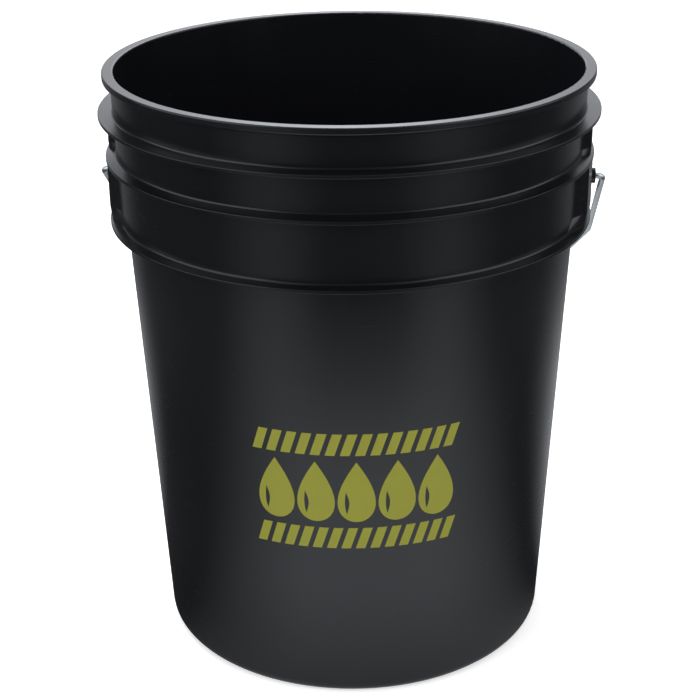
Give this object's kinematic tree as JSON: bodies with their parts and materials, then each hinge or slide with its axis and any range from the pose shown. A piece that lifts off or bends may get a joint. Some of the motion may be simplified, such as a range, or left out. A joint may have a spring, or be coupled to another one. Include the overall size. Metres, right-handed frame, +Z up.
{
  "type": "wash bucket",
  "caption": "Tapered moulded wash bucket with outside rings, hollow handle ears, a swinging wire bail and a turning tube grip.",
  "frame": {"origin": "centre of the foot ring, on the surface that the bucket stands on", "axes": "+Z up out of the mouth; ears and bail axis along X; decorated side towards -Y; at rest the bail hangs down on the +Y side"},
  "size_m": [0.3134, 0.3116, 0.3683],
  "materials": {
    "pail": "moulded HDPE, satin with a soft gloss",
    "wire": "bright zinc plate on drawn steel wire",
    "grip": "moulded polypropylene, satin",
    "ink": "screen-printed ink, matt"
  },
  "bodies": {
    "pail": {"pail": "pail"},
    "bail": {"bail": "wire"},
    "grip": {"grip": "grip"}
  },
  "joints": [
    {"name": "bail_swing", "type": "hinge", "parent": "pail", "child": "bail", "pos_m": [0, 0, 0.2991], "axis": [1, 0, 0], "range_deg": [0, 259.15]},
    {"name": "grip_spin", "type": "hinge", "parent": "bail", "child": "grip", "pos_m": [0, 0.14645, 0.17805], "axis": [1, 0, 0], "continuous": true}
  ]
}
